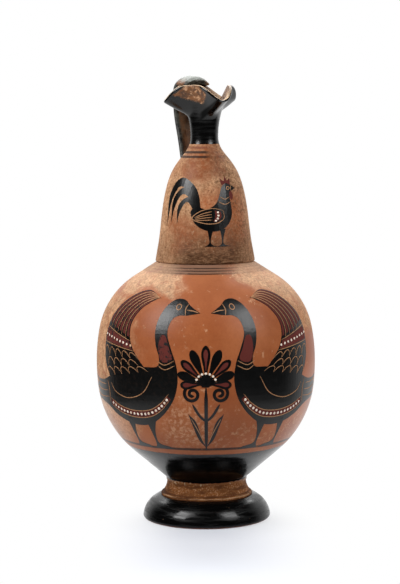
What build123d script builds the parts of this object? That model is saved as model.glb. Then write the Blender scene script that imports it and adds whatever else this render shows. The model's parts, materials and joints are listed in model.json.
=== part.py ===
from build123d import *
import math
import os

# Wheel-thrown oinochoe: globular body on a disc foot, bell-shaped neck, pinched trefoil mouth, strap handle.
# Every thrown or pulled section is its own solid, as it lies on the potter's bench before it is luted on.
# Each round joint is a flat ring face with a scored groove, and the slip that fills the groove is a solid too.
# Millimetres, +Z up, origin on the axis at the resting plane. The spout points along -Y, the handle along +Y.

# Heights of the thrown sections, stacked from the resting plane
FOOT_HEIGHT = 17.5
STEM_HEIGHT = 11.5
BODY_HEIGHT = 164.0
BELL_HEIGHT = 86.7
TUBE_HEIGHT = 18.0

# Foot disc, with a hollow underside
FOOT_RADIUS = 47.7
FOOT_TOP_RADIUS = 34.6
FOOT_EDGE = 2.2
FOOT_BULGE = 3.1
FOOT_REST_WIDTH = 9.0
FOOT_PLATE = 8.0
FOOT_HOLLOW_BULGE = 2.5

# Foot stem, with a round fillet at its base
STEM_TOP_RADIUS = 29.5
STEM_BORE_RADIUS = 19.0
STEM_LEDGE = 0.6
STEM_FILLET_HEIGHT = 2.2
STEM_FILLET_BULGE = 0.7
STEM_FILLET_STEP = 1.1

# Body: a long side arc above and below the belly, a tighter turn, then a cone; the upper turn is as tight as
# the length of its cone asks for
BELLY_RADIUS = 81.5
BELLY_HEIGHT = 90.0
BODY_WALL = 4.6
BODY_FLOOR = 7.0
BODY_STEP = 0.6
BASE_FLARE_RADIUS = 3.6
BASE_EDGE = 0.5
LOWER_SIDE_RADIUS = 180.0
LOWER_SIDE_SWEEP = 5.2
LOWER_TURN_RADIUS = 75.0
UPPER_SIDE_RADIUS = 131.0
UPPER_SIDE_SWEEP = 11.0
SHOULDER_CONE = 20.8

# Bell-shaped neck: each station is a share of its height and of the way in from its base to the tube
BELL_BASE_RADIUS = 36.9
BELL_WALL = 4.2
BELL_STEP = 1.0
BELL_TAPER = 8.5
BELL_STATIONS = [(0.173, 0.095), (0.404, 0.189), (0.611, 0.309), (0.761, 0.479), (0.877, 0.73)]

# Neck tube, drawn in to a waist above the bell
TUBE_BASE_RADIUS = 11.0
TUBE_RADIUS = 10.25
TUBE_TOP_RADIUS = 11.5
TUBE_WAIST_RISE = 5.8
TUBE_BORE_RADIUS = 7.2

# Trefoil mouth: the rim's radius and its rise over the tube at the lobes, at the pinches and at the back,
# where a side lobe and a pinch lie, in degrees from the spout, and powers that keep the rim high between lobes
LOBE_RADIUS = 29.7
LOBE_RISE = 12.4
LOBE_ANGLE = 109.0
PINCH_RADIUS = 19.1
PINCH_RISE = 23.8
PINCH_ANGLE = 56.0
BACK_RADIUS = 17.8
BACK_RISE = 26.8
PINCH_DIP_POWER = 2.3
BACK_DIP_POWER = 1.45

# The mouth's wall leaves the tube along its collar, up to this rise, and comes to the rim from this far in and below
LOBE_COLLAR_RISE = 5.0
PINCH_COLLAR_RISE = 6.2
LOBE_KNEE_IN = 11.2
PINCH_KNEE_IN = 3.9
LOBE_KNEE_DROP = 7.1
PINCH_KNEE_DROP = 8.3
LIP_WALL = 2.2
LIP_CROWN = 0.9
MOUTH_STEPS = 6
MOUTH_STATIONS = 36

# Strap handle: laid over the back of the rim, out to its haunch and reach, in to its waist, down to the bell
HANDLE_WIDTH = 17.0
HANDLE_THICKNESS = 6.6
HANDLE_CROWN = 0.56
HANDLE_STATIONS = 12
HANDLE_DROOP = 3.2
HANDLE_COVER = 4.6
HANDLE_NOSE_IN = 8.5
HANDLE_CREST_IN = 4.3
HANDLE_HAUNCH_OUT = 17.0
HANDLE_HAUNCH_DROP = 3.2
HANDLE_REACH_OUT = 20.6
HANDLE_REACH_DROP = 17.5
HANDLE_WAIST_OUT = 13.6
HANDLE_WAIST_DROP = 47.0
HANDLE_ROOT_RUN = 68.0

# Scored luting grooves: their share of the joint face's width, and their depth
GROOVE_SHARE = 0.34
GROOVE_DEPTH = 0.6

Z_STEM = FOOT_HEIGHT
Z_BODY = Z_STEM + STEM_HEIGHT
Z_BELLY = Z_BODY + BELLY_HEIGHT
Z_BELL = Z_BODY + BODY_HEIGHT
Z_TUBE = Z_BELL + BELL_HEIGHT
Z_MOUTH = Z_TUBE + TUBE_HEIGHT
STEM_BASE_RADIUS = FOOT_TOP_RADIUS - STEM_LEDGE
BODY_BASE_RADIUS = STEM_TOP_RADIUS + BODY_STEP
BELL_MOUTH_RADIUS = BELL_BASE_RADIUS - BELL_WALL
SHOULDER_TOP_RADIUS = BELL_BASE_RADIUS - BELL_STEP
TUBE_LEAN = 2 * math.atan((TUBE_TOP_RADIUS - TUBE_RADIUS) / (TUBE_HEIGHT - TUBE_WAIST_RISE))


def turned(*edges):
    """Solid of revolution about Z of a closed profile, drawn with X as the radius and Y as the height."""
    return revolve(make_face([Plane.XZ * edge for edge in edges]), Axis.Z).solid()


def polar(centre, radius, angle):
    """Point of the profile plane on a circle, at an angle in degrees from the horizontal."""
    turn = math.radians(angle)
    return (centre[0] + radius * math.cos(turn), centre[1] + radius * math.sin(turn))


def arc(centre, radius, start, end):
    """Arc of a circle in the profile plane between two angles in degrees."""
    middle = polar(centre, radius, (start + end) / 2)
    return ThreePointArc(polar(centre, radius, start), middle, polar(centre, radius, end))


def luting_ring(inner_radius, outer_radius, height):
    """Ring of slip in the middle of a joint face, let into the section below the joint."""
    middle = (inner_radius + outer_radius) / 2
    half = GROOVE_SHARE * (outer_radius - inner_radius) / 2
    low = height - GROOVE_DEPTH
    corners = [(middle - half, low), (middle + half, low), (middle + half, height), (middle - half, height)]
    return turned(Polyline(*corners, close=True))


def luting_rings():
    """The slip of each round joint, under the name of the section that it is let into."""
    return {
        "foot_disc": luting_ring(STEM_BORE_RADIUS, STEM_BASE_RADIUS, Z_STEM),
        "foot_stem": luting_ring(STEM_BORE_RADIUS, STEM_TOP_RADIUS, Z_BODY),
        "body_bowl": luting_ring(BELLY_RADIUS - BODY_WALL, BELLY_RADIUS, Z_BELLY),
        "body_shoulder": luting_ring(BELL_MOUTH_RADIUS, SHOULDER_TOP_RADIUS, Z_BELL),
        "neck_bell": luting_ring(TUBE_BORE_RADIUS, TUBE_BASE_RADIUS, Z_TUBE),
        "neck_tube": luting_ring(TUBE_BORE_RADIUS, TUBE_TOP_RADIUS, Z_MOUTH),
    }


def foot_disc():
    """Heavy ring foot: flat resting ring, small round edge, swelling top, hollow underside."""
    rest_inner = (FOOT_RADIUS - FOOT_EDGE - FOOT_REST_WIDTH, 0)
    rest_outer = (FOOT_RADIUS - FOOT_EDGE, 0)
    side = (FOOT_RADIUS, FOOT_EDGE)
    top_outer = (FOOT_TOP_RADIUS, FOOT_HEIGHT)
    top_inner = (STEM_BORE_RADIUS, FOOT_HEIGHT)
    under = (STEM_BORE_RADIUS, FOOT_HEIGHT - FOOT_PLATE)
    return turned(
        Line(rest_inner, rest_outer),
        TangentArc(rest_outer, side, tangent=(1, 0)),
        SagittaArc(side, top_outer, -FOOT_BULGE),
        Line(top_outer, top_inner),
        Line(top_inner, under),
        SagittaArc(under, rest_inner, -FOOT_HOLLOW_BULGE),
    )


def foot_stem():
    """Concave collar between the foot and the bowl, upright where it meets the bowl, on a round fillet."""
    base_inner = (STEM_BORE_RADIUS, Z_STEM)
    base_outer = (STEM_BASE_RADIUS, Z_STEM)
    fillet_top = (STEM_BASE_RADIUS - STEM_FILLET_STEP, Z_STEM + STEM_FILLET_HEIGHT)
    top_outer = (STEM_TOP_RADIUS, Z_BODY)
    top_inner = (STEM_BORE_RADIUS, Z_BODY)
    return turned(
        Line(base_inner, base_outer),
        SagittaArc(base_outer, fillet_top, -STEM_FILLET_BULGE),
        TangentArc(top_outer, fillet_top, tangent=(0, -1)),
        Line(top_outer, top_inner),
        Line(top_inner, base_inner),
    )


def body_bowl():
    """Lower half of the body, thrown as a bowl with a thick floor and a small flared base edge."""
    side_centre = (BELLY_RADIUS - LOWER_SIDE_RADIUS, Z_BELLY)
    turn_centre = polar(side_centre, LOWER_SIDE_RADIUS - LOWER_TURN_RADIUS, -LOWER_SIDE_SWEEP)
    flare_centre = (BODY_BASE_RADIUS + BASE_FLARE_RADIUS, Z_BODY + BASE_EDGE)

    # The cone is the line that touches the turn from outside and the base flare from inside
    across = (flare_centre[0] - turn_centre[0], flare_centre[1] - turn_centre[1])
    lean = math.acos((LOWER_TURN_RADIUS + BASE_FLARE_RADIUS) / math.hypot(*across))
    normal = math.degrees(math.atan2(across[1], across[0]) + lean)
    side = arc(side_centre, LOWER_SIDE_RADIUS, 0, -LOWER_SIDE_SWEEP)
    turn = arc(turn_centre, LOWER_TURN_RADIUS, -LOWER_SIDE_SWEEP, normal)
    flare = arc(flare_centre, BASE_FLARE_RADIUS, normal + 180, 180)
    base_outer = (BODY_BASE_RADIUS, Z_BODY)

    # Inside, the same arcs lie one wall further in, and the floor is an arc about the axis that meets the cone
    inner_side = arc(side_centre, LOWER_SIDE_RADIUS - BODY_WALL, 0, -LOWER_SIDE_SWEEP)
    inner_turn = arc(turn_centre, LOWER_TURN_RADIUS - BODY_WALL, -LOWER_SIDE_SWEEP, normal)
    rise, run = math.sin(math.radians(normal)), math.cos(math.radians(normal))
    cone_offset = turn_centre[0] * run + turn_centre[1] * rise + LOWER_TURN_RADIUS - BODY_WALL
    floor_height = Z_BODY + BODY_FLOOR
    floor_radius = (cone_offset - rise * floor_height) / (1 + rise)
    floor = arc((0, floor_height + floor_radius), floor_radius, -90, normal)
    return turned(
        side,
        turn,
        Line(turn @ 1, flare @ 0),
        flare,
        Line(flare @ 1, base_outer),
        Line(base_outer, (0, Z_BODY)),
        Line((0, Z_BODY), floor @ 0),
        floor,
        Line(floor @ 1, inner_turn @ 1),
        inner_turn,
        inner_side,
        Line(inner_side @ 0, side @ 0),
    )


def body_shoulder():
    """Upper half of the body, thrown upside down, with a flat seat for the bell round its opening."""
    side_centre = (BELLY_RADIUS - UPPER_SIDE_RADIUS, Z_BELLY)
    side = arc(side_centre, UPPER_SIDE_RADIUS, 0, UPPER_SIDE_SWEEP)
    seat_outer = (SHOULDER_TOP_RADIUS, Z_BELL)
    seat_inner = (BELL_MOUTH_RADIUS, Z_BELL)

    # The turn runs on from the side, and the line from the seat's edge touches it after the cone's length
    chord = Vector(*seat_outer) - side @ 1
    inward = Vector(*side_centre) - side @ 1
    turn_radius = (chord.length**2 - SHOULDER_CONE**2) / (2 * chord.dot(inward.normalized()))
    turn_centre = polar(side_centre, UPPER_SIDE_RADIUS - turn_radius, UPPER_SIDE_SWEEP)
    across = (seat_outer[0] - turn_centre[0], seat_outer[1] - turn_centre[1])
    normal = math.degrees(math.atan2(across[1], across[0]) - math.atan2(SHOULDER_CONE, turn_radius))
    turn = arc(turn_centre, turn_radius, UPPER_SIDE_SWEEP, normal)
    inner_side = arc(side_centre, UPPER_SIDE_RADIUS - BODY_WALL, 0, UPPER_SIDE_SWEEP)
    inner_turn = arc(turn_centre, turn_radius - BODY_WALL, UPPER_SIDE_SWEEP, normal)
    run = (inner_turn @ 1).X - BELL_MOUTH_RADIUS
    opening = (BELL_MOUTH_RADIUS, (inner_turn @ 1).Y + run / math.tan(math.radians(normal)))
    return turned(
        side,
        turn,
        Line(turn @ 1, seat_outer),
        Line(seat_outer, seat_inner),
        Line(seat_inner, opening),
        Line(opening, inner_turn @ 1),
        inner_turn,
        inner_side,
        Line(inner_side @ 0, side @ 0),
    )


def bell_outline():
    """Outer profile of the bell from its step up to the tube, whose curve it runs on into."""
    span = BELL_BASE_RADIUS - TUBE_BASE_RADIUS
    start = (BELL_BASE_RADIUS, Z_BELL + BELL_STEP)
    stations = [(BELL_BASE_RADIUS - way * span, Z_BELL + up * BELL_HEIGHT) for up, way in BELL_STATIONS]
    end = (TUBE_BASE_RADIUS, Z_TUBE)
    start_lean = math.tan(math.radians(BELL_TAPER))
    end_lean = math.tan(2 * math.atan((TUBE_BASE_RADIUS - TUBE_RADIUS) / TUBE_WAIST_RISE))
    return Spline(start, *stations, end, tangents=[(-start_lean, 1), (-end_lean, 1)])


def bell_solid():
    """The bell as a solid lump, for cutting what is pressed on to its outside."""
    outline = bell_outline()
    seat = (SHOULDER_TOP_RADIUS, Z_BELL)
    return turned(
        Line((0, Z_BELL), seat),
        TangentArc(seat, outline @ 0, tangent=(1, 0)),
        outline,
        Line(outline @ 1, (0, Z_TUBE)),
        Line((0, Z_TUBE), (0, Z_BELL)),
    )


def neck_bell():
    """Bell-shaped neck, hollow, with a wall that thins evenly towards the tube."""
    outline = bell_outline()
    thinning = BELL_WALL - (TUBE_BASE_RADIUS - TUBE_BORE_RADIUS)
    points = [(BELL_MOUTH_RADIUS, Z_BELL)]
    for share, _ in BELL_STATIONS:
        tangent = outline % share
        points.append(outline @ share + Vector(-tangent.Y, tangent.X) * (BELL_WALL - thinning * share))
    points.append((TUBE_BORE_RADIUS, Z_TUBE))
    inside = Spline(*points)
    hollow = turned(
        Line((0, Z_BELL), inside @ 0),
        inside,
        Line(inside @ 1, (0, Z_TUBE)),
        Line((0, Z_TUBE), (0, Z_BELL)),
    )
    return bell_solid() - hollow


def neck_tube():
    """Narrow tube with a straight bore, drawn in to a waist and flaring again to the mouth."""
    base_inner = (TUBE_BORE_RADIUS, Z_TUBE)
    base_outer = (TUBE_BASE_RADIUS, Z_TUBE)
    waist = (TUBE_RADIUS, Z_TUBE + TUBE_WAIST_RISE)
    top_outer = (TUBE_TOP_RADIUS, Z_MOUTH)
    top_inner = (TUBE_BORE_RADIUS, Z_MOUTH)
    return turned(
        Line(base_inner, base_outer),
        TangentArc(waist, base_outer, tangent=(0, -1)),
        TangentArc(waist, top_outer, tangent=(0, 1)),
        Line(top_outer, top_inner),
        Line(top_inner, base_inner),
    )


def lobe_share(turn):
    """1 in the middle of a lobe, 0 at a pinch and at the back; turn is in radians from the spout."""
    # An even three-fold wave has lobes at 120 and pinches at 60 degrees, so it is shifted by two sine terms
    # that bring them to their own angles and leave the spout and the back where they are
    lobe, pinch = math.radians(LOBE_ANGLE), math.radians(PINCH_ANGLE)
    lobe_shift, pinch_shift = 2 * math.pi / 3 - lobe, math.pi / 3 - pinch
    scale = math.sin(lobe) * math.sin(2 * pinch) - math.sin(2 * lobe) * math.sin(pinch)
    first = (lobe_shift * math.sin(2 * pinch) - pinch_shift * math.sin(2 * lobe)) / scale
    second = (pinch_shift * math.sin(lobe) - lobe_shift * math.sin(pinch)) / scale
    shifted = turn + first * math.sin(turn) + second * math.sin(2 * turn)
    return (1 + math.cos(3 * shifted)) / 2


def between(pinch_value, lobe_value, lobe):
    """Value between those at a pinch and at a lobe."""
    return pinch_value + (lobe_value - pinch_value) * lobe


def mouth_point(turn, step):
    """Point on the outside of the mouth's wall; step is 0 at the tube and 1 at the rim."""
    lobe = lobe_share(turn)
    back = max(0.0, -math.cos(turn)) ** 2
    pinch_radius = PINCH_RADIUS + (BACK_RADIUS - PINCH_RADIUS) * back
    pinch_rise = PINCH_RISE + (BACK_RISE - PINCH_RISE) * back
    rim_radius = between(pinch_radius, LOBE_RADIUS, lobe)
    behind_lobe = math.cos(turn) < math.cos(math.radians(LOBE_ANGLE))
    dip_power = BACK_DIP_POWER if behind_lobe else PINCH_DIP_POWER
    rim_rise = between(pinch_rise, LOBE_RISE, lobe**dip_power)

    # A cubic curve up the wall: it runs on from the tube and leans out to the rim, most of all at a lobe
    collar_rise = between(PINCH_COLLAR_RISE, LOBE_COLLAR_RISE, lobe)
    collar_radius = TUBE_TOP_RADIUS + collar_rise * math.tan(TUBE_LEAN)
    knee_radius = rim_radius - between(PINCH_KNEE_IN, LOBE_KNEE_IN, lobe)
    knee_rise = rim_rise - between(PINCH_KNEE_DROP, LOBE_KNEE_DROP, lobe)
    rest = 1 - step
    radius = rest**3 * TUBE_TOP_RADIUS + 3 * rest**2 * step * collar_radius
    radius += 3 * rest * step**2 * knee_radius + step**3 * rim_radius
    rise = 3 * rest**2 * step * collar_rise + 3 * rest * step**2 * knee_rise + step**3 * rim_rise
    return Vector(radius * math.sin(turn), -radius * math.cos(turn), Z_MOUTH + rise)


def mouth_ring(step, depth, lift=0.0):
    """Closed curve round the mouth at one step, set into the wall by depth and lifted along it."""
    small = 1e-3
    points = []
    for index in range(MOUTH_STATIONS):
        turn = 2 * math.pi * index / MOUTH_STATIONS
        around = mouth_point(turn + small, step) - mouth_point(turn - small, step)
        up = (mouth_point(turn, step + small) - mouth_point(turn, step - small)).normalized()
        outward = around.cross(up).normalized()
        points.append(mouth_point(turn, step) - outward * depth + up * lift)
    return Wire([Edge.make_spline(points, periodic=True)])


def tube_ring(radius):
    """Closed curve at the foot of the mouth, through the same stations as the rings above it."""
    turns = [2 * math.pi * index / MOUTH_STATIONS for index in range(MOUTH_STATIONS)]
    points = [Vector(radius * math.sin(turn), -radius * math.cos(turn), Z_MOUTH) for turn in turns]
    return Wire([Edge.make_spline(points, periodic=True)])


def mouth_trefoil():
    """Pinched trefoil mouth: outer wall, rounded lip and inner wall, closed by the ring that it stands on."""
    base_wall = TUBE_TOP_RADIUS - TUBE_BORE_RADIUS
    steps = [index / MOUTH_STEPS for index in range(1, MOUTH_STEPS + 1)]
    outer = [tube_ring(TUBE_TOP_RADIUS)] + [mouth_ring(step, 0) for step in steps]
    inner = [tube_ring(TUBE_BORE_RADIUS)]
    inner += [mouth_ring(step, base_wall + (LIP_WALL - base_wall) * step) for step in steps]
    lip = [outer[-1], mouth_ring(1, LIP_WALL / 2, LIP_CROWN), inner[-1]]
    faces = [face for rings in (outer, lip, inner) for face in Shell.make_loft(rings).faces()]
    return Solid(Shell(faces + [Face(outer[0], [inner[0]])]))


def handle_path():
    """Centre line of the handle in its own plane, X away from the axis: from inside the rim to inside the bell."""
    top = Z_MOUTH + BACK_RISE + LIP_CROWN + HANDLE_COVER
    crest = Vector(BACK_RADIUS - HANDLE_CREST_IN, top - HANDLE_CROWN * HANDLE_THICKNESS)
    nose = Vector(BACK_RADIUS - HANDLE_NOSE_IN, crest.Y - HANDLE_THICKNESS / 8)
    haunch = crest + Vector(HANDLE_HAUNCH_OUT, -HANDLE_HAUNCH_DROP)
    reach = crest + Vector(HANDLE_REACH_OUT, -HANDLE_REACH_DROP)
    waist = crest + Vector(HANDLE_WAIST_OUT, -HANDLE_WAIST_DROP)
    landing = bell_outline().position_at(HANDLE_ROOT_RUN, PositionMode.LENGTH)
    root = landing - Vector(HANDLE_THICKNESS / 2, 0)
    ways = [(1, 0.4), (1, 0), (0.7, -0.7), (0, -1), (-0.28, -1), (-0.32, -1)]
    return Spline(nose, crest, haunch, reach, waist, root, tangents=ways)


def handle_section(path, share, width, thickness, droop):
    """Section of the strap square to its centre line: a full curve outside, a flatter one inside, edges bent in."""
    point, tangent = path @ share, path % share
    plane = Plane((0, point.X, point.Y), x_dir=(1, 0, 0), z_dir=(0, tangent.X, tangent.Y))
    points = []
    for index in range(HANDLE_STATIONS):
        turn = 2 * math.pi * index / HANDLE_STATIONS
        along, out = math.cos(turn), math.sin(turn)
        depth = HANDLE_CROWN if out < 0 else 1 - HANDLE_CROWN
        points.append(Vector(along * width / 2, out * depth * thickness + along**2 * droop))
    return plane * Face(Wire([Edge.make_spline(points, periodic=True)]))


def handle_strap(mouth):
    """Pulled strap handle, cut to the rim that it is laid over and to the bell that it lands on."""
    # Share of the way along, then shares of the strap's width, of its thickness and of its edges' droop there
    sizes = [
        (0.0, 1.08, 0.5, 0.8),
        (0.05, 1.28, 0.9, 1.0),
        (0.1, 1.28, 1.0, 0.9),
        (0.2, 1.2, 1.0, 0.5),
        (0.3, 1.06, 0.98, 0.2),
        (0.4, 0.96, 0.97, 0.0),
        (0.5, 0.92, 0.96, 0.0),
        (0.6, 0.89, 0.95, 0.0),
        (0.7, 0.87, 0.95, 0.0),
        (0.8, 0.87, 0.96, 0.0),
        (0.9, 0.9, 0.98, 0.0),
        (1.0, 0.96, 1.0, 0.0),
    ]
    path = handle_path()
    sections = [
        handle_section(path, share, wide * HANDLE_WIDTH, thick * HANDLE_THICKNESS, bent * HANDLE_DROOP)
        for share, wide, thick, bent in sizes
    ]
    return loft(sections).solid() - bell_solid() - mouth


def main():
    slip = luting_rings()
    mouth = mouth_trefoil()
    parts = {
        "foot_disc": foot_disc() - slip["foot_disc"],
        "foot_stem": foot_stem() - slip["foot_stem"],
        "body_bowl": body_bowl() - slip["body_bowl"],
        "body_shoulder": body_shoulder() - slip["body_shoulder"],
        "neck_bell": neck_bell() - slip["neck_bell"],
        "neck_tube": neck_tube() - slip["neck_tube"],
        "mouth_trefoil": mouth,
        "handle_strap": handle_strap(mouth),
        "luting_slip": Compound(list(slip.values())),
    }
    os.makedirs("parts", exist_ok=True)
    for name, shape in parts.items():
        export_step(shape, f"parts/{name}.step")


main()
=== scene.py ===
"""Looks of the oinochoe jug: fired clay, black slip, painted birds and palmettes, studio light and camera."""

import bmesh
import bpy
import json
import math
from mathutils import Matrix, Vector
from mathutils.bvhtree import BVHTree
from mathutils.geometry import tessellate_polygon

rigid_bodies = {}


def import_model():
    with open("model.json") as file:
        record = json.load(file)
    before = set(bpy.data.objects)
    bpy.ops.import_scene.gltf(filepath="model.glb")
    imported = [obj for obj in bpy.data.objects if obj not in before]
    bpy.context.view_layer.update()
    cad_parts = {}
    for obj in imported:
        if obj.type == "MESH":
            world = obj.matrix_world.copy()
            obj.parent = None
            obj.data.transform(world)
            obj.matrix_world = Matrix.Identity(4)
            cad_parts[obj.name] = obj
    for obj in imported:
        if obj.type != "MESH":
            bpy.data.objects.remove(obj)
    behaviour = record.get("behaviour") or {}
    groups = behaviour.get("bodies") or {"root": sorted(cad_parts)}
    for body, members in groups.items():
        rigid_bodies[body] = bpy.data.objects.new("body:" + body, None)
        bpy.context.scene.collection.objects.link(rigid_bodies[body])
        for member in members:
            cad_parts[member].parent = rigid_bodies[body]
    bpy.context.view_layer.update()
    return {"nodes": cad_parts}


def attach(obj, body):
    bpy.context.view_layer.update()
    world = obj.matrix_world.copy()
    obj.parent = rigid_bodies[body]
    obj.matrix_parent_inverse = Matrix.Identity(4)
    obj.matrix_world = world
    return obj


MM = 0.001

# Camera, as read from the photograph of 400 by 584 pixels
FOCAL_PIXELS = 1880.0
PHOTO_LONG_SIDE = 584.0
SENSOR = 36.0
CAMERA_AZIMUTH = -28.0
CAMERA_RANGE = 1395.1 * MM
CAMERA_HEIGHT = 307.1 * MM
CAMERA_PITCH = -5.63
CAMERA_YAW = 0.165
CAMERA_ROLL = -0.38

# Lamps: turn from the camera and rise in degrees, range and size in metres, power in watts
LAMPS = {
    "left_box": (-56, 38, 1.2, (0.5, 0.7), 14.0),
    "right_box": (52, 36, 1.2, (0.5, 0.7), 9.2),
    "back_box": (180, 47, 1.3, (1.6, 0.8), 19.0),
}
LAMP_TARGET_HEIGHT = 0.16

# Surround: the level direction of the backdrop by its shares to the photograph's right and front,
# the shares of direction over which the backdrop and the floor end, and the strengths from dark to bright
BACKDROP_WAY = (0.17, -0.985)
BACKDROP_EDGE = (0.2, 0.75)
BACKDROP_TOP = (0.45, 0.8)
FLOOR_EDGE = (-0.46, -0.36)
LIGHT_STRENGTH = (0.03, 0.95)
REFLECTED_STRENGTH = (0.02, 1.0)

# Floor, in metres: a disc of paper that fades to white around an ellipse in front of the jug, darker round
# the foot as a painted shadow
FLOOR_SIDES = 96
FLOOR_REACH = 0.6
PAPER_HALF_WIDTH = 0.085
PAPER_HALF_DEPTH = 0.2
PAPER_MIDDLE = 0.11
PAPER_FADE = (0.15, 1.1)
PAINTED_SHADOW_RADII = (0.045, 0.095)

# Colours, as sRGB values from 0 to 255
FRESH_CLAY = (168, 98, 58)
DEEP_CLAY = (151, 82, 45)
WORN_CLAY = (210, 163, 124)
BROWN_CLAY = (142, 98, 64)
PIT_CLAY = (96, 62, 40)
STEM_CLAY = (136, 82, 40)
DARK_STEM = (74, 41, 19)
# Dark brown for the bell's lower part and the speckles on its flank
DARK_BROWN_CLAY = (74, 45, 23)
DUSTY_CLAY = (124, 95, 78)
RUSTY_CLAY = (130, 83, 46)
INNER_CLAY = (124, 89, 62)
# Grey of the painted highlight on the handle's crest
GREY_GLARE = (158, 162, 156)
DULL_SLIP = (96, 95, 84)
EDGE_CLAY = (112, 56, 38)
# Pale clay of chips, also the colour of the painted highlight on the stem's fillet
CHIPPED_AND_HIGHLIGHT_CLAY = (206, 174, 138)
# Pale colour of the painted sheen towards the top of the shoulder
PALE_SHEEN_CLAY = (238, 214, 188)
BLACK_SLIP = (5, 5, 5)
LINE_SLIP = (32, 21, 16)
THIN_SLIP = (20, 14, 11)
ADDED_RED = (92, 29, 20)
ADDED_WHITE = (236, 222, 206)
INCISED = (168, 122, 84)
FLOOR_COLOUR = (223, 226, 233)
# Darker paper near the foot: a painted shadow
FLOOR_PAINTED_SHADOW = (210, 213, 221)
WHITE = (255, 255, 255)

# The mouth's rim, for wear along the lip: angles in degrees from the spout, heights in millimetres
LOBE_ANGLE = 109.0
PINCH_ANGLE = 56.0
TUBE_TOP = 297.7
LOBE_RISE = 12.4
PINCH_RISE = 23.8
BACK_RISE = 26.8
LIP_CROWN = 0.9
PINCH_DIP_POWER = 2.3
BACK_DIP_POWER = 1.45

# Painted bands in millimetres: heights on the body and the bell, radii on the shoulder
BLACK_BELOW = 57.8
BARE_BELOW = 30.5
GROUND_LINE = 62.4
GROUND_LINE_HALF = 0.95
SHOULDER_LINES = (39.8, 42.5, 45.4)
SHOULDER_LINE_HALF = 0.6
BELL_LINES = (273.8, 270.5)
BELL_LINE_HALF = 0.85
FAINT_LINE = 277.2

# Patches of wear and soil in millimetres: a point, the reach round it and half the width of its edge
SHOULDER_FLAKES = ((-4, -41, 187), 9, 3)
LOW_RUB = ((-46, -57, 82), 17, 8)
# The bell's smooth top: kept skin, also drawn darker there as painted shade
BELL_SMOOTH_SHADED_TOP = ((-11, -17, 267), 16, 6)
BELL_SMOOTH = (((-34, -22, 216), 15, 8), ((0, -36, 226), 24, 9), ((16, 30, 225), 26, 8))
BELL_SCRATCHES = ((-18, -34, 212), 15, 5)
HANDLE_HAUNCH = ((-10.5, 18.5, 322.8), 6.5, 1.5)
FIGURES_WORN_SIDE = ((-84, -30, 126), 46, 6)
KEPT_SKIN = (
    ((-73, -36, 113), 22, 2), ((-78, -20, 124), 19, 2), ((-77, -14, 144), 17, 2), ((-71, -15, 161), 14, 2),
    ((-62, -23, 171), 11, 2), ((29, -74, 140), 18, 2), ((25, -72, 154), 16, 2), ((18, -66, 168), 12, 2),
)

# Slip: roughness from its glossy to its dull streaks, and specular levels
SLIP_GLOSS = (0.1, 0.22)
FOOT_GLOSS = (0.12, 0.36)
TUBE_GLOSS = (0.14, 0.32)
HANDLE_GLOSS = (0.3, 0.45)
PLAIN_SPECULAR = 0.35
FOOT_SPECULAR = 0.24
MOUTH_SPECULAR = 0.42

# Painted layers, in millimetres: how far each stands off the clay, and a dot's rise over its edge
SUNK = -0.10
BLACK_LIFT = 0.10
RED_LIFT = 0.15
LINE_LIFT = 0.19
DOT_LIFT = 0.2
DOT_SHOULDER = 0.17
DOT_CROWN = 0.22

# Painted shapes: sizes in millimetres, shares of a dot's radius and a stroke's length and width, and sides
LINE_WIDTH = 0.55
FINE_LINE = 0.45
CURVE_STEP = 1.3
CELL = 3.0
WELD = 0.01
SMALLEST_FACE = 1e-6
DOT_FLAT = 0.6
STROKE_END = 0.18
STROKE_TIP = 0.35
DOT_SIDES = 10
CIRCLE_SIDES = 14

# Places of the figures, in degrees from the camera and millimetres, and where rays at the wall start
SWAN_TURN = 38
COCKEREL_TURN = 12
COCKEREL_GROUND = 206
COCKEREL_SIZE = 1.08
FIGURE_MIDDLE = 40
RAY_START = 200 * MM

# Palmette: spread in degrees, its heart's in radians, shares of its size or a petal's length, volute steps
PALMETTE_SPREAD = 94
HEART_TURN = 1.44
SIDE_PETAL_LOSS = 0.32
PETAL_WIDTH = 0.24
CORE_START = 0.36
CORE_LENGTH = 0.54
CORE_WIDTH = 0.12
HEART_RADIUS = 0.27
VOLUTE_RADIUS = 0.24
VOLUTE_ASIDE = 0.36
VOLUTE_DROP = 0.28
VOLUTE_WIDTH = 0.085
VOLUTE_CLOSING = 0.86
VOLUTE_STEPS = 40


def linear(colour):
    """Linear colour with alpha of an sRGB colour given from 0 to 255."""
    channels = [c / 255 for c in colour]
    return tuple(c / 12.92 if c <= 0.04045 else ((c + 0.055) / 1.055) ** 2.4 for c in channels) + (1.0,)


def operator(operation):
    """A method that puts a field, and a second one or a number, into a maths node."""
    return lambda self, *other: self.nodes.math(operation, self, *other)


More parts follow.
